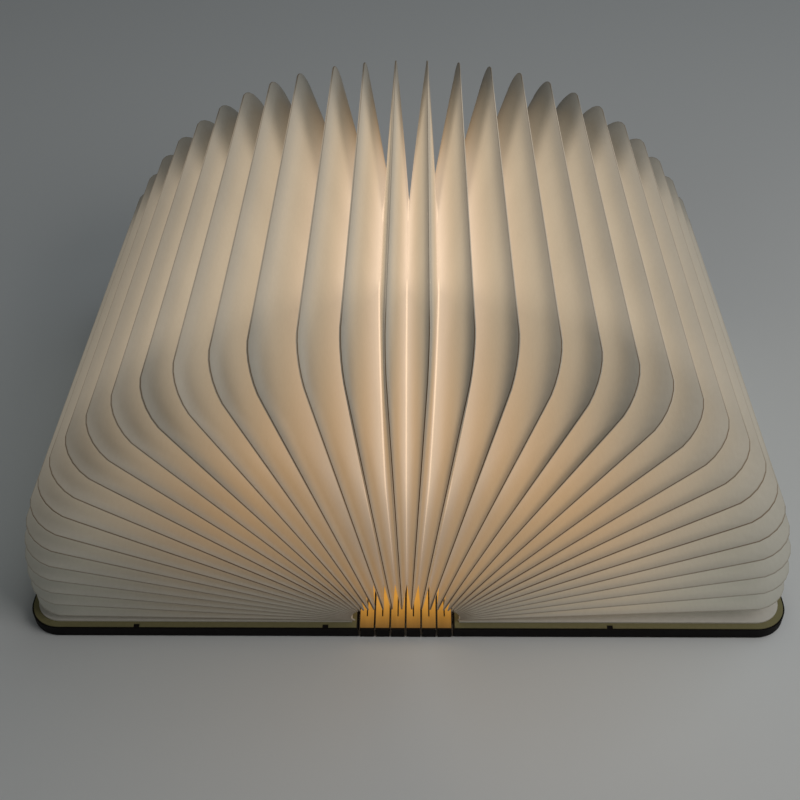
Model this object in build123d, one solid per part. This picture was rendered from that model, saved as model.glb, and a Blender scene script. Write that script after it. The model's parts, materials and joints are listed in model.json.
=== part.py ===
from build123d import *
import math
import os

# A lamp made as a book, lying open and flat, in millimetres.
# +X is to the reader's right, +Y runs away from the reader along the spine, +Z is up.
# The origin is on the table, under the middle of the spine.

# Covers and spine
COVER_HEIGHT = 216.0            # head to tail, along Y
COVER_THICKNESS = 4.6
COVER_REACH = 143.0             # from the middle of the spine to the fore edge
COVER_CORNER = 12.5
COVER_EDGE_ROUND = 0.5
SLAT_PITCH = 5.8                # from one open kerf of the spine to the next
SLATS_PER_SIDE = 3
KERF = 0.7
INNER_KERF = 0.5
INNER_KERF_END = 6.0            # wood left past each end of an inner kerf
HINGE_HEIGHT = 4.4              # height of the line that each open kerf bends about
HINGE_EDGE = SLAT_PITCH * SLATS_PER_SIDE

# Linings on the inside of the covers
FACING_THICKNESS = 0.3
FACING_INSET = 0.6
NOTCH = (2.2, 1.4)               # along and in from the tail, where the lining was snapped from its sheet
NOTCH_REACH = {"left": (101.0, 30.0), "right": (76.0,)}   # from the middle of the spine
END_BOARD_THICKNESS = 0.6
END_BOARD_START = 20.0
END_BOARD_MARGIN = 2.5          # of lining left bare along the fore edge
END_BOARD_CORNER = 10.5

# Paper leaves
LEAF_COUNT = 36
LEAF_WIDTH = 127.0              # from the root line to the fore edge
LEAF_START = 5.0                # where the paper starts, out from the root line
LEAF_HEIGHT = 210.0
LEAF_CORNER = (12.5, 15.5)      # where the corner's curve starts, along the tail and up the fore edge
LEAF_CORNER_BOW = 4.0           # how far the curve stands out from a straight cut
LEAF_THICKNESS = 0.2
LEAF_PITCH_CLOSED = 0.6         # between leaves when the book is shut
CLOSED_ROOT_HEIGHT = 9.0
LOWEST_ANGLE = 1.2              # of the first leaf, up from the left cover
FAN_SWEEP = 175.2
FAN_LEAN = (-3.8, -2.1, -0.9, -1.9)   # how far the fan strays from even steps, in degrees
WIDE_GAP_LEAF = 16              # the fan opens wider after this leaf
WIDE_GAP_ANGLE = 1.0
WIDE_GAP_EASE = 6               # leaves at the cover that take up the extra angle
ROOT_HALF_WIDTH = 16.4
ROOT_RISE = 2.4
ROOT_BASE = 6.0
ROOT_STEEPNESS = 2.5            # how soon the roots spread to each side of the middle
ROOT_TUCK = 0.14                # share that the lowest leaves are set in
ROOT_TUCK_ANGLE = 5.0

# Pleats between one leaf and the next
PLEAT_GAP = 0.06                # left between a pleat and the leaf beside it
PLEAT_START = 6.0
PLEAT_WALL = 2.0                # of the paper, measured along the leaf
VALLEY_WIDTH = 91.5             # reach of the valley fold at mid height
VALLEY_KNEE_OUT = 50.0          # where the valley fold starts to curve, out from the root
VALLEY_KNEE_IN = 17.0           # and in from the tail
VALLEY_MID_OUT = 76.5
VALLEY_MID_IN = 46.5
VALLEY_TOP_IN = 80.0
VALLEY_TAIL_IN = 5.5
VALLEY_LAG = 7.0                # how much further out than the ridge each fold starts

# Core that the leaves turn on, with the electrics inside
CORE_LENGTH = 170.0
CORE_HALF_WIDTH = 9.2
CORE_BASE = 4.7
CORE_KNEE = (5.2, 6.0)          # where the underside steepens
CORE_SIDE_FOOT = 9.1
CORE_RIM = 10.4
CORE_WALL = 0.8
DIFFUSER_THICKNESS = 0.9
LED_BOARD = (13.0, 150.0, 0.6)
LED_BOARD_BASE = 9.0
LED = (2.8, 3.5, 0.6)
LED_COUNT = 16
BATTERY = (9.0, 62.0, 2.1)
BATTERY_Y = -40.0
CONTROL_BOARD = (9.0, 44.0, 0.6)
CONTROL_BOARD_Y = 40.0
ELECTRICS_BASE = 6.85
SPEAKER = (9.0, 20.0, 2.1)
SPEAKER_Y = 5.0
SENSOR = (3.0, 3.0, 0.8)
SENSOR_Y = 30.0
SOCKET = (8.9, 7.4, 3.2)
SOCKET_BASE = 6.5
SOCKET_WALL = 0.5
SOCKET_ROUND = 1.4

# Magnets that hold the book shut
MAGNET_RADIUS = 4.0
MAGNET_THICKNESS = 2.0
MAGNET_PLAY = 0.1
MAGNET_REACH = 132.0            # from the middle of the spine
MAGNET_SPREAD = 60.0            # each way from mid height

COVER_TOP = COVER_THICKNESS
FACING_TOP = COVER_TOP + FACING_THICKNESS
END_BOARD_TOP = FACING_TOP + END_BOARD_THICKNESS
SIDES = {"left": -1, "right": 1}


def leaf_angle(index):
    """Angle of a leaf in degrees, from flat on the left at 0 to flat on the right at 180."""
    share = (index - 1) / (LEAF_COUNT - 1)
    lean = sum(size * math.sin((n + 1) * math.pi * share) for n, size in enumerate(FAN_LEAN))
    if index <= WIDE_GAP_LEAF:
        lean -= WIDE_GAP_ANGLE * min((index - 1) / WIDE_GAP_EASE, 1)
    return LOWEST_ANGLE + FAN_SWEEP * share + lean


def leaf_root(index):
    """Where the plane of a leaf meets the root line, as x and z."""
    angle = leaf_angle(index)
    cosine = math.cos(math.radians(angle))
    lowness = min(angle, 180 - angle)
    half_width = ROOT_HALF_WIDTH * (1 - ROOT_TUCK * math.exp(-lowness / ROOT_TUCK_ANGLE))
    x = -half_width * math.tanh(ROOT_STEEPNESS * cosine)
    return x, ROOT_BASE + ROOT_RISE * math.sin(math.radians(angle))


def leaf_root_closed(index):
    """Where the same point lies when the book is shut."""
    return (index - 0.5 - LEAF_COUNT / 2) * LEAF_PITCH_CLOSED, CLOSED_ROOT_HEIGHT


def leaf_plane(root, angle):
    """Plane of a leaf: x runs out from the root, and z is the side towards the next leaf."""
    slope = math.radians(angle)
    outward = (-math.cos(slope), 0, math.sin(slope))
    normal = (math.sin(slope), 0, math.cos(slope))
    return Plane(origin=(root[0], 0, root[1]), x_dir=outward, z_dir=normal)


def ridge_outline(start, inset=0.0):
    """Page outline in a leaf's plane, drawn in by inset."""
    half = LEAF_HEIGHT / 2 - inset
    width = LEAF_WIDTH - inset
    along, up = (size - inset for size in LEAF_CORNER)
    straight = width - along
    cut = math.hypot(along, up)
    bend_out = width - along / 2 + LEAF_CORNER_BOW * up / cut
    bend_up = half - up / 2 + LEAF_CORNER_BOW * along / cut
    lower = Line((start, -half), (straight, -half))
    near = ThreePointArc((straight, -half), (bend_out, -bend_up), (width, up - half))
    fore = Line((width, up - half), (width, half - up))
    far = ThreePointArc((width, half - up), (bend_out, bend_up), (straight, half))
    upper = Line((straight, half), (start, half))
    spine = Line((start, half), (start, -half))
    return make_face([lower, near, fore, far, upper, spine])


def valley_outline(leaf_start, inset=0.0):
    """Outline of the fold between two leaves, drawn in from the page outline and by inset."""
    start = leaf_start + VALLEY_LAG
    half = LEAF_HEIGHT / 2 - inset
    tail = VALLEY_TAIL_IN - half
    knee = VALLEY_KNEE_IN - half
    middle = VALLEY_MID_IN - half
    top = VALLEY_TOP_IN - half
    lower = Line((start, tail), (VALLEY_KNEE_OUT, knee))
    bulge, reach = VALLEY_MID_OUT - inset, VALLEY_WIDTH - inset
    near = ThreePointArc((VALLEY_KNEE_OUT, knee), (bulge, middle), (reach, top))
    fore = Line((reach, top), (reach, -top))
    far = ThreePointArc((reach, -top), (bulge, -middle), (VALLEY_KNEE_OUT, -knee))
    upper = Line((VALLEY_KNEE_OUT, -knee), (start, -tail))
    spine = Line((start, -tail), (start, tail))
    return make_face([lower, near, fore, far, upper, spine])


def leaf(index):
    """One thin leaf of the fan."""
    plane = leaf_plane(leaf_root(index), leaf_angle(index))
    return extrude(plane * ridge_outline(LEAF_START), LEAF_THICKNESS / 2, both=True)


def pleat_body(index, off, start, inset):
    """Wedge from one leaf to the next with the valley fold pressed into it."""
    low_root, high_root = leaf_root(index), leaf_root(index + 1)
    low_angle, high_angle = leaf_angle(index), leaf_angle(index + 1)
    middle_root = tuple((a + b) / 2 for a, b in zip(low_root, high_root))
    low = leaf_plane(low_root, low_angle).offset(off)
    middle = leaf_plane(middle_root, (low_angle + high_angle) / 2)
    high = leaf_plane(high_root, high_angle).offset(-off)
    ridge, valley = ridge_outline(start, inset), valley_outline(start, inset)
    return loft([low * ridge, middle * valley, high * ridge], ruled=True)


def pleat(index):
    """Folded paper wall from one leaf to the next, open towards the spine."""
    outside = pleat_body(index, LEAF_THICKNESS / 2 + PLEAT_GAP, PLEAT_START, 0)
    return outside - pleat_body(index, 0, PLEAT_START - PLEAT_GAP, PLEAT_WALL)


def board(side, start, reach, half_height, corner, base, thickness):
    """Flat board with rounded fore-edge corners, from start to reach on one side."""
    centre = SIDES[side] * (start + reach) / 2
    solid = Pos(centre, 0, base + thickness / 2) * Box(reach - start, 2 * half_height, thickness)
    fore_edges = solid.edges().filter_by(Axis.Z).group_by(Axis.X)[-1 if side == "right" else 0]
    return fillet(fore_edges, corner)


def magnet_places(side):
    """Middles of the two magnets of a cover."""
    return [(SIDES[side] * MAGNET_REACH, y) for y in (-MAGNET_SPREAD, MAGNET_SPREAD)]


def cover(side):
    """Cover board with the two magnet pockets in its inner face."""
    start = HINGE_EDGE + KERF / 2
    solid = board(side, start, COVER_REACH, COVER_HEIGHT / 2, COVER_CORNER, 0, COVER_THICKNESS)
    solid = fillet(solid.faces().sort_by(Axis.Z)[0].edges(), COVER_EDGE_ROUND)
    depth = MAGNET_THICKNESS + MAGNET_PLAY
    for x, y in magnet_places(side):
        pocket = Cylinder(MAGNET_RADIUS + MAGNET_PLAY, depth)
        solid -= Pos(x, y, COVER_TOP - depth / 2) * pocket
    return solid


def cover_facing(side):
    """Thin lining glued to the inside of a cover, with small notches in its tail edge."""
    start = HINGE_EDGE + KERF / 2 + FACING_INSET
    reach = COVER_REACH - FACING_INSET
    half = COVER_HEIGHT / 2 - FACING_INSET
    sheet = board(side, start, reach, half, COVER_CORNER - FACING_INSET, COVER_TOP, FACING_THICKNESS)
    length, depth = NOTCH
    for place in NOTCH_REACH[side]:
        sheet -= Pos(SIDES[side] * place, -half, COVER_TOP) * Box(length, 2 * depth, 4 * FACING_THICKNESS)
    return sheet


def end_board(side):
    """White board that ends the paper block and lies on the lining."""
    reach = COVER_REACH - END_BOARD_MARGIN
    corner = END_BOARD_CORNER
    return board(side, END_BOARD_START, reach, LEAF_HEIGHT / 2, corner, FACING_TOP, END_BOARD_THICKNESS)


def cover_magnets(side):
    """The two magnets of one cover."""
    base = COVER_TOP - MAGNET_THICKNESS - MAGNET_PLAY / 2
    disc = Cylinder(MAGNET_RADIUS, MAGNET_THICKNESS)
    return [Pos(x, y, base + MAGNET_THICKNESS / 2) * disc for x, y in magnet_places(side)]


def spine_slat(side, number):
    """Strip of the spine between two open kerfs, split by a closed inner kerf."""
    width = SLAT_PITCH - KERF
    centre = SIDES[side] * (number - 0.5) * SLAT_PITCH
    strip = Pos(centre, 0, COVER_THICKNESS / 2) * Box(width, COVER_HEIGHT, COVER_THICKNESS)
    slot_length = COVER_HEIGHT - 2 * INNER_KERF_END
    slot = Pos(centre, 0, COVER_THICKNESS / 2) * Box(INNER_KERF, slot_length, 2 * COVER_THICKNESS)
    return strip - slot


def core_section(inset):
    """Half-round section of the core, drawn in by the wall where inset is given."""
    knee_x, knee_z = CORE_KNEE
    side = CORE_HALF_WIDTH - inset
    right = [
        (0, CORE_BASE + inset),
        (knee_x - 0.3 * inset, knee_z + inset),
        (side, CORE_SIDE_FOOT + 0.3 * inset),
        (side, CORE_RIM + inset),
    ]
    left = [(-x, z) for x, z in reversed(right[1:])]
    return Plane.XZ * make_face(Polyline(*right, *left, close=True))


def core_tray():
    """Channel that carries the leaves and holds the electrics, with its socket opening at the head end."""
    shell = extrude(core_section(0), CORE_LENGTH / 2, both=True)
    room = extrude(core_section(CORE_WALL), CORE_LENGTH / 2 - CORE_WALL, both=True)
    width, length, height = SOCKET
    middle = SOCKET_BASE + height / 2
    play = 0.05
    mouth = Pos(0, CORE_LENGTH / 2, middle) * Box(width + 2 * play, 4 * CORE_WALL, height + 2 * play)
    return shell - room - mouth


def core_diffuser():
    """Milky lid of the core."""
    return Pos(0, 0, CORE_RIM + DIFFUSER_THICKNESS / 2) * Box(2 * CORE_HALF_WIDTH, CORE_LENGTH, DIFFUSER_THICKNESS)


def block(size, y, base):
    """Plain block of an electric piece, standing on base."""
    return Pos(0, y, base + size[2] / 2) * Box(*size)


def leds():
    """Row of light-emitting chips on their board."""
    step = LED_BOARD[1] / LED_COUNT
    first = -(LED_COUNT - 1) * step / 2
    base = LED_BOARD_BASE + LED_BOARD[2]
    return [block(LED, first + k * step, base) for k in range(LED_COUNT)]


def charge_socket():
    """Oval charging inlet, open towards the head."""
    width, length, height = SOCKET
    y = CORE_LENGTH / 2 - length / 2
    middle = SOCKET_BASE + height / 2
    outer = Pos(0, y, middle) * Box(width, length, height)
    outer = fillet(outer.edges().filter_by(Axis.Y), SOCKET_ROUND)
    inside = Box(width - 2 * SOCKET_WALL, length, height - 2 * SOCKET_WALL)
    inside = fillet(inside.edges().filter_by(Axis.Y), SOCKET_ROUND - SOCKET_WALL)
    return outer - Pos(0, y + SOCKET_WALL, middle) * inside


def write(name, shape):
    """Writes one sub-part, or a group of like solids, as its own file."""
    solids = shape if isinstance(shape, list) else [shape]
    group = Compound(children=[s for item in solids for s in item.solids()])
    group.label = name
    export_step(group, f"parts/{name}.step")


def build_covers():
    """Covers, linings, end boards, magnets and the strips of the spine."""
    for side in SIDES:
        write(f"{side}_cover", cover(side))
        write(f"{side}_cover_facing", cover_facing(side))
        write(f"{side}_end_board", end_board(side))
        write(f"{side}_cover_magnets", cover_magnets(side))
        for number in range(1, SLATS_PER_SIDE + 1):
            write(f"{side}_spine_slat_{number}", spine_slat(side, number))


def build_core():
    """Core and everything inside it."""
    write("core_tray", core_tray())
    write("core_diffuser", core_diffuser())
    write("led_board", block(LED_BOARD, 0, LED_BOARD_BASE))
    write("leds", leds())
    write("battery", block(BATTERY, BATTERY_Y, ELECTRICS_BASE))
    write("control_board", block(CONTROL_BOARD, CONTROL_BOARD_Y, ELECTRICS_BASE))
    write("fold_sensor", block(SENSOR, SENSOR_Y, ELECTRICS_BASE + CONTROL_BOARD[2]))
    write("speaker_driver", block(SPEAKER, SPEAKER_Y, ELECTRICS_BASE))
    write("charge_socket", charge_socket())


def build_paper():
    """The leaves and the pleats between them."""
    for index in range(1, LEAF_COUNT + 1):
        write(f"leaf_{index:02d}", leaf(index))
    write("paper_pleats", [pleat(index) for index in range(1, LEAF_COUNT)])


os.makedirs("parts", exist_ok=True)
build_covers()
build_core()
build_paper()
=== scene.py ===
import json
import logging
import math
from dataclasses import dataclass, field
from enum import Enum

import bmesh
import bpy
from mathutils import Matrix, Vector


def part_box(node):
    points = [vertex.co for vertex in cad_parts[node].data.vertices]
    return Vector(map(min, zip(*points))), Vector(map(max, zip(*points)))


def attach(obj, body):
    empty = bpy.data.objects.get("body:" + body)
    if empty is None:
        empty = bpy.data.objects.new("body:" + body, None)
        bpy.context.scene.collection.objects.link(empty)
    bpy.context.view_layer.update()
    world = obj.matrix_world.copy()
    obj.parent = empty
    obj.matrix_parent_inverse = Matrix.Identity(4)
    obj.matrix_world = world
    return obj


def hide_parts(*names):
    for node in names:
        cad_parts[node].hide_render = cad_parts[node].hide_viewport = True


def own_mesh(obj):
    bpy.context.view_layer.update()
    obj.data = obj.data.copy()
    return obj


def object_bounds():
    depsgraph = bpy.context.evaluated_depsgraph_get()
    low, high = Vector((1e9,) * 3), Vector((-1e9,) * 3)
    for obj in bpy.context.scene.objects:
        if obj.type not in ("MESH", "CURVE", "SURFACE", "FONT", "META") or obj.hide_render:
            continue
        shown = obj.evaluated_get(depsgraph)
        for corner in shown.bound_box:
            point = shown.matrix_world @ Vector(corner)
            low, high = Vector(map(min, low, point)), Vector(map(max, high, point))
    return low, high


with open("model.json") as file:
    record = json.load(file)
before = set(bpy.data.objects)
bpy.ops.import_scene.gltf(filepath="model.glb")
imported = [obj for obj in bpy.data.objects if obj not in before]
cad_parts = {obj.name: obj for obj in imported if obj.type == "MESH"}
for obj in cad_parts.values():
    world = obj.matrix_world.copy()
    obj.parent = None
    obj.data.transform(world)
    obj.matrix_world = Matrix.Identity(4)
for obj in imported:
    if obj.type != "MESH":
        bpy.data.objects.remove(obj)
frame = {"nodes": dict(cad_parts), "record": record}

CAD_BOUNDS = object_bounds()
MM = 0.001
PAGE_WIDTH = 122.0 * MM
PETAL_CELLS = 13  # across one petal; the middle one is the narrow crest of its ridge
LOG = logging.getLogger("book_lamp")

Colour = tuple[float, float, float]
Plane = tuple[float, Vector]


class Side(Enum):
    """Side of the book, with the sign of its direction along X."""

    LEFT = -1
    RIGHT = 1

    @property
    def word(self) -> str:
        """The side's word in node names."""
        return self.name.lower()


@dataclass(frozen=True)
class Pattern:
    """Cloudy noise: its scale per metre, its detail and how the place is stretched before it."""

    scale: float
    detail: float
    stretch: tuple[float, float, float] | None = None


class Value:
    """A shader socket that takes part in Python arithmetic."""

    def __init__(self, graph: "Graph", socket: bpy.types.NodeSocket) -> None:
        """Wraps one output socket.

        Args:
            graph: the material's graph that the socket belongs to.
            socket: the output socket.
        """
        self.graph = graph
        self.socket = socket

    def _math(self, operation: str, first: "Value | float", second: "Value | float | None" = None) -> "Value":
        """Adds one Math node and returns its output."""
        inputs = {0: first} if second is None else {0: first, 1: second}
        return self.graph.node("ShaderNodeMath", {"operation": operation}, inputs)

    def __add__(self, other: "Value | float") -> "Value":
        """Sum."""
        return self._math("ADD", self, other)

    __radd__ = __add__

    def __sub__(self, other: "Value | float") -> "Value":
        """Difference."""
        return self._math("SUBTRACT", self, other)

    def __rsub__(self, other: float) -> "Value":
        """Difference from a number."""
        return self._math("SUBTRACT", other, self)

    def __mul__(self, other: "Value | float") -> "Value":
        """Product."""
        return self._math("MULTIPLY", self, other)

    __rmul__ = __mul__

    def __truediv__(self, other: "Value | float") -> "Value":
        """Quotient."""
        return self._math("DIVIDE", self, other)

    def __pow__(self, other: float) -> "Value":
        """Power."""
        return self._math("POWER", self, other)

    def absolute(self) -> "Value":
        """Size without the sign."""
        return self._math("ABSOLUTE", self)

    def step(self, low: float, high: float) -> "Value":
        """Smooth rise from 0 at low to 1 at high.

        Args:
            low: value where the rise starts.
            high: value where it ends.

        Returns:
            The eased share.
        """
        settings = {"interpolation_type": "SMOOTHSTEP"}
        inputs = {"Value": self, "From Min": low, "From Max": high}
        return self.graph.node("ShaderNodeMapRange", settings, inputs)


class Graph:
    """Node tree of one material, with a principled shader at its end."""

    def __init__(self, name: str) -> None:
        """Makes an empty material.

        Args:
            name: the material's name.
        """
        self.material = bpy.data.materials.new(name)
        self.material.use_nodes = True
        self.tree = self.material.node_tree
        self.tree.nodes.clear()
        self.shader = self.tree.nodes.new("ShaderNodeBsdfPrincipled")
        output = self.tree.nodes.new("ShaderNodeOutputMaterial")
        self.tree.links.new(self.shader.outputs[0], output.inputs[0])

    def node(self, kind: str, settings: dict, inputs: dict, output: int | str = 0) -> Value:
        """Adds a node of any type.

        Args:
            kind: the node's type name.
            settings: properties of the node, set before its sockets.
            inputs: socket names or numbers, with values or links.
            output: name or number of the output to return.

        Returns:
            The chosen output.
        """
        made = self.tree.nodes.new(kind)
        for key, value in settings.items():
            setattr(made, key, value)
        for key, value in inputs.items():
            if isinstance(value, Value):
                self.tree.links.new(value.socket, made.inputs[key])
            else:
                made.inputs[key].default_value = value
        return Value(self, made.outputs[output])

    def place(self) -> Value:
        """Object coordinates in metres."""
        return self.node("ShaderNodeTexCoord", {}, {}, "Object")

    def part_of(self, vector: Value, axis: str) -> Value:
        """One axis of a vector."""
        return self.node("ShaderNodeSeparateXYZ", {}, {0: vector}, axis)

    def noise(self, vector: Value, pattern: Pattern) -> Value:
        """Adds a noise texture.

        Args:
            vector: the place to read it at.
            pattern: its scale, detail and stretch.

        Returns:
            The noise, from 0 to 1.
        """
        if pattern.stretch:
            vector = self.node("ShaderNodeMapping", {}, {"Vector": vector, "Scale": pattern.stretch})
        inputs = {"Vector": vector, "Scale": pattern.scale, "Detail": pattern.detail}
        return self.node("ShaderNodeTexNoise", {}, inputs, "Fac")

    def mix(self, share: Value | float, first: Value | Colour, second: Value | Colour) -> Value:
        """Colour between two colours."""
        values = [v if isinstance(v, Value) else (*v, 1.0) for v in (first, second)]
        return self.node("ShaderNodeMix", {"data_type": "RGBA"}, {0: share, 6: values[0], 7: values[1]}, 2)

    def bump(self, height: Value, distance: float, strength: float) -> None:
        """Raises the surface by a height pattern."""
        inputs = {"Height": height, "Distance": distance, "Strength": strength}
        self.feed("Normal", self.node("ShaderNodeBump", {}, inputs))

    def feed(self, socket: str, value: "Value | float | Colour") -> None:
        """Sets or links a socket of the shader.

        Args:
            socket: the shader's socket name.
            value: a link, a number or a colour.
        """
        target = self.shader.inputs[socket]
        if isinstance(value, Value):
            self.tree.links.new(value.socket, target)
        elif isinstance(value, tuple):
            target.default_value = (*value, 1.0)
        else:
            target.default_value = value


@dataclass(frozen=True)
class Ease:
    """Smooth change between two values."""

    low: float
    high: float

    def rise(self, value: Value) -> Value:
        """Share from 0 at low to 1 at high."""
        return value.step(self.low, self.high)

    def fall(self, value: Value) -> Value:
        """Share from 1 at low to 0 at high."""
        return 1.0 - self.rise(value)


@dataclass(frozen=True)
class PagePoint:
    """Where a point of the paper lies, on its page and as seen from the light in the spine.

    along runs from 0 at the tail end of the spine to 1 at its head end, and from_end is the distance from
    the nearer of the two, 0.5 at mid height. signed is -1 in the valley on the outer side, 0 on the ridge
    and 1 in the valley that faces the middle of the book, and depth is its size. across is in metres,
    reach is the distance from the light in page widths, and slope is 1 straight above the light.
    """

    along: Value
    signed: Value
    depth: Value
    from_end: Value
    across: Value
    reach: Value
    slope: Value


@dataclass(frozen=True)
class GlowCurves:
    """Strength of the light that comes through the paper, as shares of the full glow."""

    at_ridge: float = 0.37
    outer_fold: Ease = Ease(0.05, 0.34)
    outer_fold_gain: float = 0.24
    inner_fold: Ease = Ease(0.34, 1.0)
    inner_fold_gain: float = 0.10
    upright: Ease = Ease(0.90, 1.0)
    upright_gain: float = 0.2
    at_tail: float = 0.46
    up_the_page: Ease = Ease(0.06, 0.31)
    up_the_page_gain: float = 0.42
    at_spine: float = 0.77
    outwards: Ease = Ease(0.15, 0.60)
    outwards_gain: float = 0.23
    fore_edge: Ease = Ease(0.60, 1.0)
    fore_edge_loss: float = 0.20
    lying_flat: float = 0.62
    standing: Ease = Ease(-0.10, 0.80)
    standing_gain: float = 0.38

    def strength(self, point: PagePoint) -> Value:
        """Share of the full glow at a point of the paper.

        Args:
            point: the point.

        Returns:
            The share, from 0 to 1.
        """
        upright = self.inner_fold_gain + self.upright.rise(point.slope) * self.upright_gain
        folded = self.at_ridge + self.outer_fold.rise(point.depth) * self.outer_fold_gain
        folded = folded + self.inner_fold.rise(point.depth) * upright
        height = self.at_tail + self.up_the_page.rise(point.from_end) * self.up_the_page_gain
        hump = self.at_spine + self.outwards.rise(point.reach) * self.outwards_gain
        hump = hump - self.fore_edge.rise(point.reach) * self.fore_edge_loss
        stance = self.lying_flat + self.standing.rise(point.slope) * self.standing_gain
        return folded * height * hump * stance


@dataclass(frozen=True)
class PageShade:
    """Local shade and light on the glow: painted shade in the corner pockets and at the head's tips, a
    painted highlight on the ridges' rims, brighter valley creases, and painted room light that leans to the
    right near the tail.
    """

    pocket_start: Ease = Ease(0.05, 0.14)
    pocket_end: Ease = Ease(0.17, 0.27)
    pocket_depth: Ease = Ease(0.05, 0.38)
    pocket_shade: float = 0.42
    pocket_spread: float = 0.3
    crease: Ease = Ease(0.93, 0.97)
    crease_slope: Ease = Ease(0.86, 0.95)
    crease_end: Ease = Ease(0.20, 0.30)
    crease_gain: float = 0.5
    low_page: Ease = Ease(0.0, 0.5)
    tail_edge: Ease = Ease(0.05, 0.22)
    # strength of the painted room light that leans to the right near the tail
    room_light_lean: float = 3.0
    # painted shade at the head's tips, then the dimmer head end
    tip_start: Ease = Ease(0.71, 0.82)
    tip_end: Ease = Ease(0.88, 0.96)
    tip_depth: Ease = Ease(0.25, 0.75)
    tip_loss: float = 0.6
    head: Ease = Ease(0.60, 0.85)
    head_loss: float = 0.08
    # gain of the painted highlight on each ridge's lit rim
    rim_gain: float = 0.5
    blotch_base: float = 0.86
    blotch_gain: float = 0.28

    def pocket(self, point: PagePoint, fold: Value, pages: Value) -> Value:
        """Share of the glow that the painted shade in a page's corner pocket takes away.

        Args:
            point: the point of the paper.
            fold: the leaf's strength of the painted pocket shade.
            pages: slow noise from page to page.

        Returns:
            The share.
        """
        corner = self.pocket_start.rise(point.from_end) * self.pocket_end.fall(point.from_end)
        near_ridge = self.pocket_depth.fall(point.depth)
        return corner * near_ridge * fold * (self.pocket_shade + pages * self.pocket_spread)

    def painted_light(self, point: PagePoint, rim: Value) -> Value:
        """Factor of painted light and shade: painted room light that brightens the right and dims the left
        near the tail, a painted highlight on the lit rims, painted shade at the head's tips, and a dimmer
        head end.

        Args:
            point: the point of the paper.
            rim: 1 on the lit rim of a ridge.

        Returns:
            The factor.
        """
        low = self.low_page.fall(point.slope)
        # painted room light: brighter on the right and darker on the left, near the tail
        painted_light = 1.0 + point.across * self.tail_edge.fall(point.from_end) * (1.0 + low) * self.room_light_lean
        tip = self.tip_start.rise(point.along) * self.tip_end.fall(point.along)
        tip = tip * self.tip_depth.fall(point.depth)
        head = 1.0 - self.head.rise(point.along) * self.head_loss
        return painted_light * (1.0 + rim * self.rim_gain) * head * (1.0 - tip * self.tip_loss)

    def factor(self, point: PagePoint, pocket: Value, blotch: Value, rim: Value) -> Value:
        """Product of all the shades.

        Args:
            point: the point of the paper.
            pocket: share that the corner pocket takes.
            blotch: cloudy noise of the paper's thickness.
            rim: 1 on the lit rim of a ridge.

        Returns:
            The factor on the glow.
        """
        crease = self.crease.rise(point.depth) * self.crease_slope.rise(point.slope)
        crease = crease * self.crease_end.fall(point.from_end)
        cloudy = self.blotch_base + blotch * self.blotch_gain
        return (1.0 - pocket) * cloudy * self.painted_light(point, rim) * (1.0 + crease * self.crease_gain)


@dataclass(frozen=True)
class RidgeLine:
    """Dark line along each ridge, partly the paper's cut edge and partly painted shade: on upright pages it
    lies on the ridge's middle side, and on pages that lie low it is fainter and covers the whole crest, as
    painted shadow of the gap under the next page.
    """

    share: float = 1.0 / PETAL_CELLS
    edge: tuple[float, float] = (0.95, 1.08)
    middle_side: Ease = Ease(-0.012, 0.0)
    steep: Ease = Ease(0.1, 0.8)
    low_page: float = 0.35
    low_page_rise: Ease = Ease(0.05, 0.45)
    fade: Ease = Ease(0.17, 0.24)
    fade_loss: float = 0.6

    def masks(self, point: PagePoint) -> tuple[Value, Value]:
        """Share of the dark line with its painted shade, and of the lit rim, a painted highlight on the
        ridge's outer side.

        Args:
            point: the point of the paper.

        Returns:
            The two shares.
        """
        first, last = self.edge
        crest = 1.0 - point.depth.step(self.share * first, self.share * last)
        steep, middle = self.steep.rise(point.slope), self.middle_side.rise(point.signed)
        raised = self.low_page + self.low_page_rise.rise(point.slope) * (1.0 - self.low_page)
        line = crest * (middle * steep + (1.0 - steep)) * raised
        line = line * (1.0 - self.fade.rise(point.from_end) * self.fade_loss)
        return line, crest * (1.0 - middle) * steep


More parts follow.
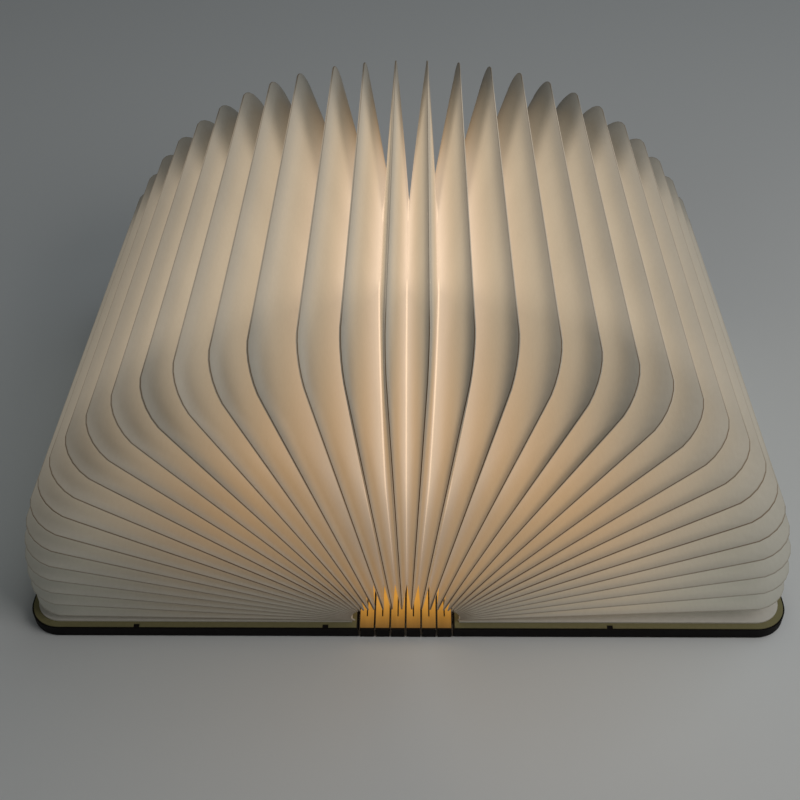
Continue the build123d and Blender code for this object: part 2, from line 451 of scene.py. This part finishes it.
@dataclass(frozen=True)
class PaperFinish:
    """Spun white paper, lit from the spine behind it.

    The page map runs from 0 to 1 along the outline of a page and across it, from the valley fold on its outer
    side over the ridge at 0.5 to the valley fold on the side that faces the middle of the book.
    """

    name: str = "leaf_paper"
    white: Colour = (0.42, 0.42, 0.385)
    fleck: Colour = (0.35, 0.345, 0.31)
    # the next two colours are the dark ridge line: the paper's cut edge with painted shade
    dark_edge_and_shade: Colour = (0.10, 0.045, 0.016)
    pale_edge_and_shade: Colour = (0.20, 0.15, 0.10)
    root_glow: Colour = (1.0, 0.53, 0.18)
    middle_glow: Colour = (0.90, 0.56, 0.285)
    far_glow: Colour = (0.75, 0.60, 0.43)
    open_glow: Colour = (0.75, 0.58, 0.45)
    low_glow: Colour = (0.60, 0.60, 0.52)
    # glow of the dark ridge line, its cut edge with painted shade
    edge_and_shade_glow: Colour = (0.14, 0.075, 0.028)
    dark: Colour = (0.0, 0.0, 0.0)
    lamp_height: float = 11.0 * MM
    centre_size: float = 1.0 * MM
    warm_root: Ease = Ease(0.0, 0.35)
    warm_far: Ease = Ease(0.60, 1.05)
    warm_open: Ease = Ease(0.35, 0.90)
    warm_open_share: float = 0.8
    warm_low: Ease = Ease(0.0, 0.65)
    warm_low_share: float = 0.6
    warm_low_tail: Ease = Ease(0.08, 0.18)
    # the ridge line's painted shade pales further out from the spine
    edge_and_shade_paling: Ease = Ease(0.45, 1.0)
    fleck_share: float = 0.6
    roughness: float = 0.82
    roughness_spread: float = 0.12
    specular: float = 0.25
    blotch_height: float = 0.6
    bump_distance: float = 0.2 * MM
    bump_strength: float = 0.35
    blotch: Pattern = Pattern(26.0, 4.0)
    fibre: Pattern = Pattern(900.0, 5.0, (1.0, 0.35, 1.0))
    pages: Pattern = Pattern(34.0, 1.0, (1.0, 0.1, 0.6))
    curves: GlowCurves = GlowCurves()
    shade: PageShade = PageShade()
    ridge: RidgeLine = RidgeLine()

    def point(self, g: Graph, place: Value) -> PagePoint:
        """Reads where a shaded point lies.

        Args:
            g: the material's graph.
            place: object coordinates.

        Returns:
            Its place on the page and from the light.
        """
        uv = g.node("ShaderNodeTexCoord", {}, {}, "UV")
        along, signed = g.part_of(uv, "X"), g.part_of(uv, "Y") * 2.0 - 1.0
        from_end = 0.5 - (along - 0.5).absolute()
        across, height = g.part_of(place, "X"), g.part_of(place, "Z") - self.lamp_height
        distance = (across * across + height * height) ** 0.5
        reach, slope = distance / PAGE_WIDTH, height / (distance + self.centre_size)
        return PagePoint(along, signed, signed.absolute(), from_end, across, reach, slope)

    def warmth(self, g: Graph, point: PagePoint) -> Value:
        """Colour of the full glow, amber at the spine and paler further out.

        Args:
            g: the material's graph.
            point: the point of the paper.

        Returns:
            The colour.
        """
        low = self.warm_low_share + self.warm_low_tail.rise(point.from_end) * (1.0 - self.warm_low_share)
        warm = g.mix(self.warm_root.rise(point.reach), self.root_glow, self.middle_glow)
        warm = g.mix(self.warm_far.rise(point.reach), warm, self.far_glow)
        warm = g.mix(self.warm_open.rise(point.depth) * self.warm_open_share, warm, self.open_glow)
        return g.mix(self.warm_low.fall(point.slope) * low, warm, self.low_glow)

    def material(self) -> bpy.types.Material:
        """Builds the paper's material.

        Returns:
            The material.
        """
        g = Graph(self.name)
        place = g.place()
        point = self.point(g, place)
        blotch, fibre, pages = (g.noise(place, p) for p in (self.blotch, self.fibre, self.pages))
        # the fold attribute holds each leaf's strength of painted pocket shade
        fold = g.node("ShaderNodeAttribute", {"attribute_name": "fold"}, {}, "Fac")
        line, rim = self.ridge.masks(point)
        pocket = self.shade.pocket(point, fold, pages)
        light = self.curves.strength(point) * self.shade.factor(point, pocket, blotch, rim)
        glow = g.mix(light, self.dark, self.warmth(g, point))
        # the dark ridge line, cut edge and painted shade, goes into both the glow and the base colour
        glow = g.mix(line, glow, g.mix(light, self.dark, self.edge_and_shade_glow))
        edge_and_shade = g.mix(self.edge_and_shade_paling.rise(point.reach), self.dark_edge_and_shade, self.pale_edge_and_shade)
        g.feed("Base Color", g.mix(line, g.mix(fibre * self.fleck_share, self.white, self.fleck), edge_and_shade))
        g.feed("Emission Color", glow)
        g.feed("Emission Strength", 1.0)
        g.feed("Roughness", self.roughness + fibre * self.roughness_spread)
        g.feed("Specular IOR Level", self.specular)
        g.bump(fibre + blotch * self.blotch_height, self.bump_distance, self.bump_strength)
        return g.material


@dataclass(frozen=True)
class WoodFinish:
    """Thin laser-cut wood, with its charred or stained edges below its face, and on the spine a painted glow
    of lamplight on its face.

    Lengths along the spine are from its middle: the painted glow of lamplight is whole up to glow_full and
    gone at glow_gone, and the ends are charred from charred_from on. The edge lies below the face height by
    edge_from.
    """

    name: str
    light: Colour
    dark: Colour
    edge: Colour
    face_height: float
    glow: Colour | None = None
    glow_full: float = 91.0 * MM
    glow_gone: float = 112.0 * MM
    glow_base: float = 0.75
    glow_spread: float = 0.5
    charred_from: float = 107.2 * MM
    charred_to: float = 107.4 * MM
    edge_from: float = 0.3 * MM
    edge_to: float = 0.1 * MM
    unlit: Colour = (0.0, 0.0, 0.0)
    grain: Pattern = Pattern(420.0, 5.0, (1.0, 0.06, 1.0))
    roughness: float = 0.6
    roughness_spread: float = 0.2
    specular: float = 0.12
    bump_distance: float = 0.1 * MM
    bump_strength: float = 0.3

    def material(self) -> bpy.types.Material:
        """Builds the wood's material, with grain along the spine.

        Returns:
            The material.
        """
        g = Graph(self.name)
        place = g.place()
        z = g.part_of(place, "Z")
        grain = g.noise(place, self.grain)
        end = g.part_of(place, "Y").absolute()
        charred = end.step(self.charred_from, self.charred_to)
        face = z.step(self.face_height - self.edge_from, self.face_height - self.edge_to) * (1.0 - charred)
        wood = g.mix(grain, self.dark, self.light)
        g.feed("Base Color", g.mix(face, self.edge, wood))
        g.feed("Roughness", self.roughness + grain * self.roughness_spread)
        g.feed("Specular IOR Level", self.specular)
        # painted lamplight: the face glows amber where the lamp's light falls on it
        if self.glow:
            lit = 1.0 - end.step(self.glow_full, self.glow_gone)
            share = face * lit * (self.glow_base + grain * self.glow_spread)
            g.feed("Emission Color", g.mix(share, self.unlit, self.glow))
            g.feed("Emission Strength", 1.0)
        g.bump(grain, self.bump_distance, self.bump_strength)
        return g.material


@dataclass(frozen=True)
class PlainFinish:
    """Moulded, printed, coated or metal surface with fine mottling."""

    name: str
    colour: Colour
    shade: Colour
    roughness: float = 0.5
    metallic: float = 0.0
    glow: float = 0.0
    mottle: Pattern = Pattern(600.0, 4.0)
    roughness_spread: float = 0.12
    bump_distance: float = 0.05 * MM
    bump_strength: float = 0.25

    def material(self) -> bpy.types.Material:
        """Builds the finish.

        Returns:
            The material.
        """
        g = Graph(self.name)
        mottle = g.noise(g.place(), self.mottle)
        tone = g.mix(mottle, self.shade, self.colour)
        g.feed("Base Color", tone)
        g.feed("Roughness", self.roughness + mottle * self.roughness_spread)
        g.feed("Metallic", self.metallic)
        if self.glow:
            g.feed("Emission Color", tone)
            g.feed("Emission Strength", self.glow)
        g.bump(mottle, self.bump_distance, self.bump_strength)
        return g.material


@dataclass
class LeafPlace:
    """Where one leaf stands, read from its node.

    The box of a leaning sheet takes in its thickness, so the slope is worked out in a few rounds.
    """

    node: str
    side: Side
    start: Vector = field(init=False)
    angle: float = field(init=False)
    thickness: float = 0.2 * MM
    rounds: int = 4

    def __post_init__(self) -> None:
        """Works out the leaf's slope and the point where its paper starts."""
        low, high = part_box(self.node)
        width, height = high.x - low.x, high.z - low.z
        slope = math.atan2(height, width)
        for _ in range(self.rounds):
            rise = height - self.thickness * math.cos(slope)
            run = width - self.thickness * math.sin(slope)
            slope = math.atan2(rise, run)
        shift = self.thickness / 2
        self.angle = slope if self.side is Side.LEFT else math.pi - slope
        x = high.x - shift * math.sin(slope) if self.side is Side.LEFT else low.x + shift * math.sin(slope)
        self.start = Vector((x, 0.0, low.z + shift * math.cos(slope)))

    def outward(self) -> Vector:
        """Direction from the root to the fore edge."""
        return Vector((-math.cos(self.angle), 0.0, math.sin(self.angle)))

    def normal(self) -> Vector:
        """Direction towards the next leaf."""
        return Vector((math.sin(self.angle), 0.0, math.cos(self.angle)))


@dataclass(frozen=True)
class PageOutline:
    """Outlines of the ridge and of the valley fold, out from the leaf's start and in from the tail."""

    width: float = PAGE_WIDTH
    half_height: float = 105.0 * MM
    corner: tuple[float, float] = (12.5 * MM, 15.5 * MM)
    corner_bow: float = 4.0 * MM
    valley_start: tuple[float, float] = (8.0 * MM, 5.5 * MM)
    valley_knee: tuple[float, float] = (45.0 * MM, 17.0 * MM)
    valley_middle: tuple[float, float] = (71.5 * MM, 46.5 * MM)
    valley_top: tuple[float, float] = (86.5 * MM, 80.0 * MM)
    ridge_start: float = -0.6 * MM
    straight_share: float = 0.28
    corner_share: float = 0.10

    def half(self, share: float, ridge: bool) -> tuple[float, float]:
        """Point on the tail half of an outline.

        Args:
            share: 0 at the spine, 1 at mid height on the fore edge.
            ridge: True for the ridge and False for the valley.

        Returns:
            Distance out from the start, and distance in from the tail.
        """
        corner_start, corner_end = self.straight_share, self.straight_share + self.corner_share
        size, rise = self.corner
        straight = self.width - size
        if share <= corner_start:
            t = share / corner_start
            ends = (self.valley_start, self.valley_knee)
            if ridge:
                ends = ((self.ridge_start, 0.0), (straight, 0.0))
            return tuple(p + (q - p) * t for p, q in zip(*ends))
        if share <= corner_end:
            t = (share - corner_start) / (corner_end - corner_start)
            if ridge:
                cut = math.hypot(size, rise)
                out = self.width - size / 2 + self.corner_bow * rise / cut
                bend = out, rise / 2 - self.corner_bow * size / cut
                return self.arc(t, (straight, 0.0), bend, (self.width, rise))
            return self.arc(t, self.valley_knee, self.valley_middle, self.valley_top)
        t = (share - corner_end) / (1 - corner_end)
        out, first = (self.width, rise) if ridge else self.valley_top
        return out, first + (self.half_height - first) * t

    @staticmethod
    def arc(t: float, *through: tuple[float, float]) -> tuple[float, float]:
        """Point on the arc through three points.

        Args:
            t: share of the way along it.
            through: its start, a point on it and its end.

        Returns:
            The point.
        """
        (x1, y1), (x2, y2), (x3, y3) = through
        d = 2 * (x1 * (y2 - y3) + x2 * (y3 - y1) + x3 * (y1 - y2))
        s1, s2, s3 = x1 * x1 + y1 * y1, x2 * x2 + y2 * y2, x3 * x3 + y3 * y3
        cx = (s1 * (y2 - y3) + s2 * (y3 - y1) + s3 * (y1 - y2)) / d
        cy = (s1 * (x3 - x2) + s2 * (x1 - x3) + s3 * (x2 - x1)) / d
        first, last = math.atan2(y1 - cy, x1 - cx), math.atan2(y3 - cy, x3 - cx)
        turn = first + (last - first) * t
        radius = math.hypot(x1 - cx, y1 - cy)
        return cx + radius * math.cos(turn), cy + radius * math.sin(turn)

    def point(self, share: float, ridge: bool) -> tuple[float, float]:
        """Point on a whole outline, with share 0 at the tail and 1 at the head.

        Args:
            share: place along the outline.
            ridge: True for the ridge and False for the valley.

        Returns:
            Distance out from the start, and the place along the spine.
        """
        tail = share <= 0.5
        out, inward = self.half(2 * share if tail else 2 - 2 * share, ridge)
        return out, (inward - self.half_height) if tail else (self.half_height - inward)


@dataclass
class PaperFan:
    """The bellows of paper: one folded petal for each leaf.

    crest is the width of a ridge's cut edge, bulge how far a wall swells between ridge and valley, and sheet
    the thickness of the paper. closed_share is not used here; it would be what is left of a petal's depth
    when its side is shut. parting is how far right of the spine's middle the valley between the two sides
    lies.
    """

    finish: bpy.types.Material
    outline: PageOutline = field(default_factory=PageOutline)
    leaf_count: int = 36
    left_leaves: int = 19
    along: int = 120
    across: int = PETAL_CELLS
    crest: float = 0.5 * MM
    bulge: float = 0.45 * MM
    sheet: float = 0.16 * MM
    closed_share: float = 0.04
    parting: float = 0.6 * MM
    # how strong each leaf's painted pocket shade is
    dark_pocket_leaves: tuple[int, ...] = (12, 15, 17, 20, 21, 23, 24)
    faint_pocket_leaves: tuple[int, ...] = (13, 16)
    outer_leaves: int = 8
    dark_pocket: float = 1.0
    faint_pocket: float = 0.15
    plain: float = 0.5

    def places(self) -> list[LeafPlace]:
        """Finds where every leaf stands.

        Returns:
            All leaves in order from the left cover.
        """
        sides = [Side.LEFT if k < self.left_leaves else Side.RIGHT for k in range(self.leaf_count)]
        return [LeafPlace(f"leaf_{k + 1:02d}", side) for k, side in enumerate(sides)]

    def half_gaps(self, places: list[LeafPlace], index: int) -> tuple[Plane, Plane]:
        """Planes of the valley folds on both sides of a leaf.

        The two sides meet on an upright plane at the parting, so either side can shut alone.

        Args:
            places: all leaves.
            index: the leaf.

        Returns:
            Angle and start point of the fold before and of the fold after the leaf.
        """
        leaf = places[index]
        found = []
        for step in (-1, 1):
            k = index + step
            if 0 <= k < len(places) and places[k].side is not leaf.side:
                found.append((math.pi / 2, Vector((self.parting, 0.0, leaf.start.z))))
            elif 0 <= k < len(places):
                found.append(((leaf.angle + places[k].angle) / 2, (leaf.start + places[k].start) / 2))
            else:
                board = 0.0 if step < 0 else math.pi
                found.append(((leaf.angle + board) / 2, leaf.start.copy()))
        return found[0], found[1]

    def build(self) -> list[bpy.types.Object]:
        """Builds every petal.

        Returns:
            The petals in order.
        """
        places = self.places()
        return [self.petal(places, index) for index in range(len(places))]

    def petal(self, places: list[LeafPlace], index: int) -> bpy.types.Object:
        """Builds one petal from a flat grid that is folded over its ridge.

        Args:
            places: all leaves.
            index: the leaf.

        Returns:
            The finished piece.
        """
        leaf = places[index]
        folds = self.half_gaps(places, index)
        mesh = bpy.data.meshes.new(f"paper_petal_{index + 1:02d}")
        bm = bmesh.new()
        bm.loops.layers.uv.new("page")
        bmesh.ops.create_grid(bm, x_segments=self.along, y_segments=self.across, size=0.5, calc_uvs=True)
        for vertex in bm.verts:
            share, side = vertex.co.x + 0.5, vertex.co.y * -2.0 * leaf.side.value
            vertex.co = self.folded(leaf, folds, share, side)
        for face in bm.faces:
            face.smooth = True
        bm.to_mesh(mesh)
        bm.free()
        # the fold attribute carries the leaf's strength of painted pocket shade
        fold = mesh.attributes.new("fold", "FLOAT", "POINT")
        fold.data.foreach_set("value", [self.pocket_shade_strength(index)] * len(mesh.vertices))
        petal = bpy.data.objects.new(mesh.name, mesh)
        bpy.context.scene.collection.objects.link(petal)
        mesh.materials.append(self.finish)
        thick = petal.modifiers.new("sheet", "SOLIDIFY")
        thick.thickness = self.sheet
        thick.offset = 0.0
        apply_modifiers(petal)
        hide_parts(leaf.node, "paper_pleats")
        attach(petal, leaf.node)
        leaf.normal()
        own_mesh(petal)
        return petal

    def pocket_shade_strength(self, index: int) -> float:
        """Strength of the painted shade in the pocket at a page's corner, since some pages stand in the shade
        of the next.

        Args:
            index: the leaf.

        Returns:
            The depth, from 0 to 1.
        """
        outer = not self.outer_leaves < index < self.leaf_count - 1 - self.outer_leaves
        if index in self.dark_pocket_leaves:
            return self.dark_pocket
        return self.faint_pocket if outer or index in self.faint_pocket_leaves else self.plain

    def folded(self, leaf: LeafPlace, folds: tuple[Plane, Plane], share: float, side: float) -> Vector:
        """Place of one point of the paper.

        Args:
            leaf: the leaf whose ridge the paper folds over.
            folds: the valley planes before and after it.
            share: place along the outline, 0 to 1.
            side: -1 at the valley before, 0 on the ridge and 1 at the valley after.

        Returns:
            The point in the row frame.
        """
        angle, start = folds[0] if side < 0 else folds[1]
        out, along = self.outline.point(share, True)
        ridge = leaf.start + leaf.outward() * out + Vector((0.0, along, 0.0))
        out, along = self.outline.point(share, False)
        outward = Vector((-math.cos(angle), 0.0, math.sin(angle)))
        valley = start + outward * out + Vector((0.0, along, 0.0))
        crest_share = 1.0 / self.across
        depth = max((abs(side) - crest_share) / (1.0 - crest_share), 0.0)
        swell = self.bulge * math.sin(math.pi * depth) * math.sin(math.pi * share)
        swell += self.crest / 2 * (1.0 - depth)
        return ridge.lerp(valley, depth) + leaf.normal() * math.copysign(swell, side)


def apply_modifiers(piece: bpy.types.Object) -> None:
    """Bakes a piece's modifiers into its mesh.

    Args:
        piece: the object to finish.
    """
    graph = bpy.context.evaluated_depsgraph_get()
    finished = bpy.data.meshes.new_from_object(piece.evaluated_get(graph))
    piece.modifiers.clear()
    piece.data = finished


@dataclass
class Casework:
    """Covers, spine and core: CAD nodes that keep their shape and get a finish."""

    cover_top: float = 4.6 * MM
    above_all: float = 1.0  # no part of the wood is its face, so it is stained all over

    def finishes(self) -> dict[str, bpy.types.Material]:
        """Builds one material for each slot of the record but the paper.

        Returns:
            The materials by slot.
        """
        soot, amber = (0.007, 0.006, 0.006), (0.54, 0.25, 0.036)
        kinds = [
            WoodFinish("cover_wood", soot, soot, soot, self.above_all),
            # the spine's amber glow is painted lamplight on the slats' faces
            WoodFinish("spine_wood", (0.28, 0.165, 0.058), (0.17, 0.095, 0.030), soot, self.cover_top, amber),
            PlainFinish("cover_lining", (0.225, 0.205, 0.10), (0.17, 0.155, 0.07), 0.8),
            PlainFinish("end_board", (0.66, 0.64, 0.60), (0.58, 0.56, 0.52), 0.8),
            PlainFinish("core_plastic", (0.62, 0.60, 0.55), (0.56, 0.54, 0.49), 0.45),
            PlainFinish("diffuser", (0.95, 0.74, 0.44), (0.88, 0.66, 0.38), 0.4, glow=0.55),
            PlainFinish("circuit_board", (0.70, 0.70, 0.67), (0.60, 0.61, 0.58), 0.4),
            PlainFinish("led", (1.0, 0.78, 0.42), (0.95, 0.70, 0.34), 0.25, glow=0.8),
            PlainFinish("battery_wrap", (0.55, 0.56, 0.58), (0.45, 0.46, 0.48), 0.35, 0.9),
            PlainFinish("chip", (0.04, 0.04, 0.042), (0.02, 0.02, 0.022), 0.4),
            PlainFinish("speaker", (0.07, 0.07, 0.072), (0.03, 0.03, 0.032), 0.6),
            PlainFinish("socket_steel", (0.60, 0.60, 0.61), (0.48, 0.48, 0.50), 0.3, 1.0),
            PlainFinish("magnet", (0.66, 0.66, 0.68), (0.56, 0.56, 0.58), 0.25, 1.0),
        ]
        return {kind.name: kind.material() for kind in kinds}

    def dress(self) -> None:
        """Gives every CAD node that stays visible its finish."""
        made, dressed = self.finishes(), 0
        for row in frame["record"]["subparts"]:
            if row["material_slot"] not in made:
                continue
            mesh = frame["nodes"][row["node"]].data
            mesh.materials.clear()
            mesh.materials.append(made[row["material_slot"]])
            LOG.info("dressed %s", row["node"])
            dressed += 1
        LOG.info("dressed %d nodes", dressed)


@dataclass(frozen=True)
class SoftLight:
    """Square light that is aimed at the lamp, with its side in metres and its power in watts."""

    name: str
    place: tuple[float, float, float]
    size: float
    power: float
    colour: Colour

    def build(self) -> None:
        """Adds the light to the scene."""
        data = bpy.data.lights.new(self.name, "AREA")
        data.size = self.size
        data.energy = self.power
        data.color = self.colour
        light = bpy.data.objects.new(self.name, data)
        light.location = self.place
        light.rotation_euler = (-Vector(self.place)).to_track_quat("-Z", "Y").to_euler()
        bpy.context.scene.collection.objects.link(light)


@dataclass
class Studio:
    """Floor, soft light and the photograph's camera."""

    image_size: int = 800
    focal_pixels: float = 1101.0
    sensor: float = 36.0
    position: tuple[float, float, float] = (6.3 * MM, -358.2 * MM, 340.9 * MM)
    pitch: float = 41.57
    yaw: float = -1.55
    roll: float = 1.07
    floor_colour: Colour = (0.72, 0.75, 0.77)
    floor_reach: float = 6.0
    floor_gap: float = 0.1 * MM
    floor_roughness: float = 0.75
    world_colour: Colour = (0.90, 0.90, 0.88)
    world_strength: float = 0.05
    lights: tuple[SoftLight, ...] = (
        SoftLight("overhead", (0.8, 0.3, 1.6), 1.4, 4.9, (0.92, 0.98, 1.0)),
        SoftLight("left", (-1.1, -1.2, 0.9), 0.9, 1.6, (0.95, 1.0, 0.97)),
        SoftLight("right", (0.5, -0.3, 0.5), 0.4, 1.35, (1.0, 0.94, 0.88)),
    )

    def camera(self) -> None:
        """Places the camera where the photograph was taken from."""
        pitch, yaw, roll = (math.radians(v) for v in (self.pitch, self.yaw, self.roll))
        level = Vector((math.sin(yaw), math.cos(yaw), 0.0))
        forward = level * math.cos(pitch) - Vector((0.0, 0.0, math.sin(pitch)))
        right = Vector((math.cos(yaw), -math.sin(yaw), 0.0))
        down = forward.cross(right)
        turned = right * math.cos(roll) + down * math.sin(roll)
        below = down * math.cos(roll) - right * math.sin(roll)
        data = bpy.data.cameras.new("camera")
        data.sensor_width = self.sensor
        data.lens = self.focal_pixels / self.image_size * self.sensor
        camera = bpy.data.objects.new("camera", data)
        axes = Matrix((turned, -below, -forward)).transposed().to_4x4()
        camera.matrix_world = Matrix.Translation(self.position) @ axes
        bpy.context.scene.collection.objects.link(camera)
        bpy.context.scene.camera = camera

    def floor(self) -> None:
        """Wide plain floor at the height that the lamp rests on."""
        mesh = bpy.data.meshes.new("floor")
        bm = bmesh.new()
        bmesh.ops.create_grid(bm, x_segments=1, y_segments=1, size=self.floor_reach)
        bmesh.ops.translate(bm, verts=bm.verts, vec=(0.0, 0.0, CAD_BOUNDS[0].z - self.floor_gap))
        bm.to_mesh(mesh)
        bm.free()
        floor = bpy.data.objects.new("floor", mesh)
        bpy.context.scene.collection.objects.link(floor)
        g = Graph("floor")
        g.feed("Base Color", self.floor_colour)
        g.feed("Roughness", self.floor_roughness)
        mesh.materials.append(g.material)

    def build(self) -> None:
        """Makes the whole set."""
        scene = bpy.context.scene
        scene.view_settings.view_transform = "Standard"
        world = bpy.data.worlds.new("soft_light")
        world.use_nodes = True
        background = world.node_tree.nodes["Background"]
        background.inputs["Color"].default_value = (*self.world_colour, 1.0)
        background.inputs["Strength"].default_value = self.world_strength
        scene.world = world
        for light in self.lights:
            light.build()
            LOG.info("lit %s", light.name)
        self.floor()
        self.camera()


def main() -> None:
    """Builds the lamp and its set."""
    logging.basicConfig(level=logging.INFO, format="%(name)s: %(message)s")
    Casework().dress()
    petals = PaperFan(PaperFinish().material()).build()
    for petal in petals:
        LOG.info("built %s", petal.name)
    Studio().build()


if __name__ == "__main__":
    main()
